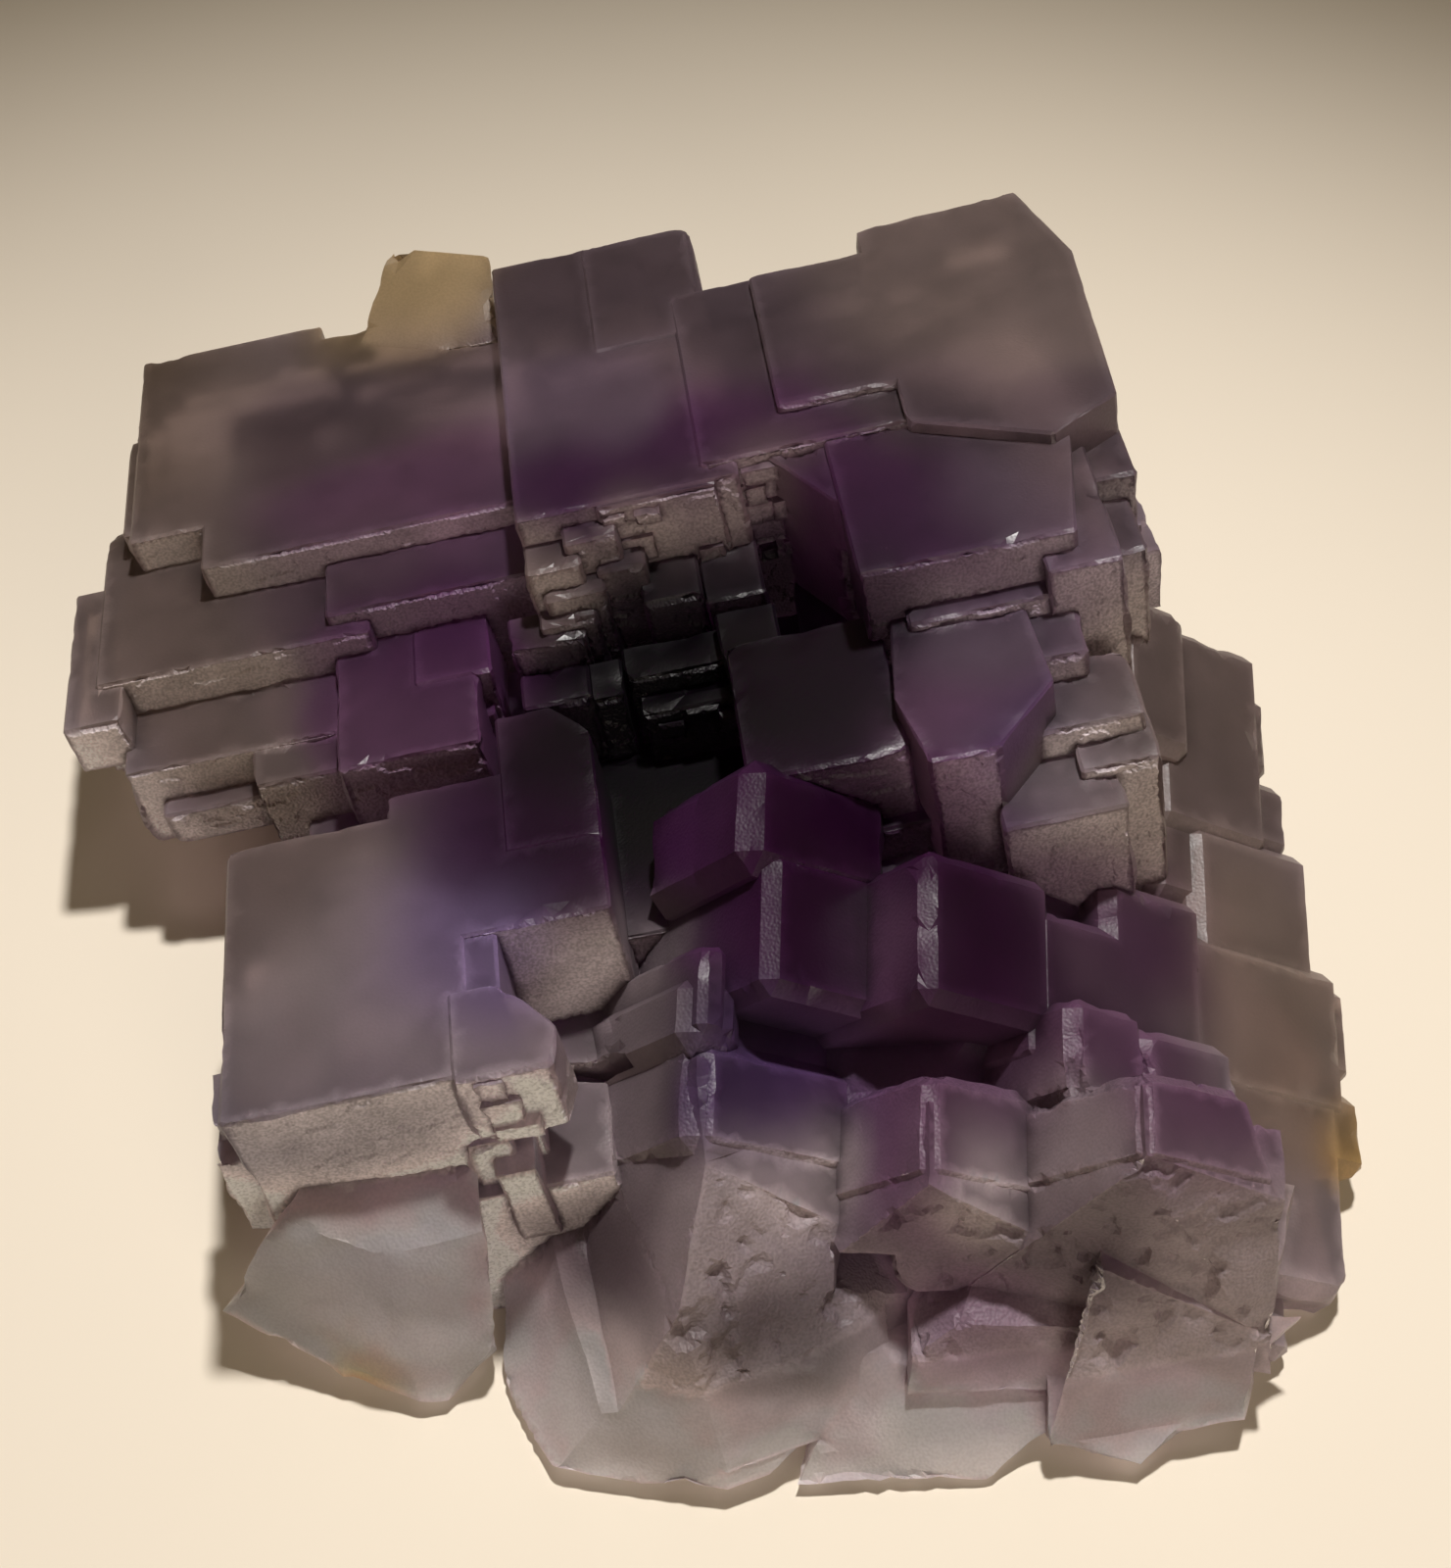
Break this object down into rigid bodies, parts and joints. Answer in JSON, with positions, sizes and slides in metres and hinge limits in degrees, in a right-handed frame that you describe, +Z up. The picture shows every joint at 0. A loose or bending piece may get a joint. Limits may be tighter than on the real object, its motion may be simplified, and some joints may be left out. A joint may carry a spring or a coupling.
{
  "type": "fluorite specimen",
  "caption": "Hand-sized cluster of frosted purple fluorite cubes, grown through each other in flat terraces and standing ridges, pale at the rims, with a flat base to rest on.",
  "frame": {"origin": "on the table, under the middle of the cluster's bounding box", "axes": "+Z up from the table, +X to the right and +Y to the back as the cluster is seen from its ridge side"},
  "size_m": [0.0906, 0.093, 0.0365],
  "materials": {
    "fluorite": "frosted, zoned from deep purple to pale grey"
  },
  "bodies": {
    "root": {"fluorite_cluster": "fluorite"}
  },
  "joints": []
}
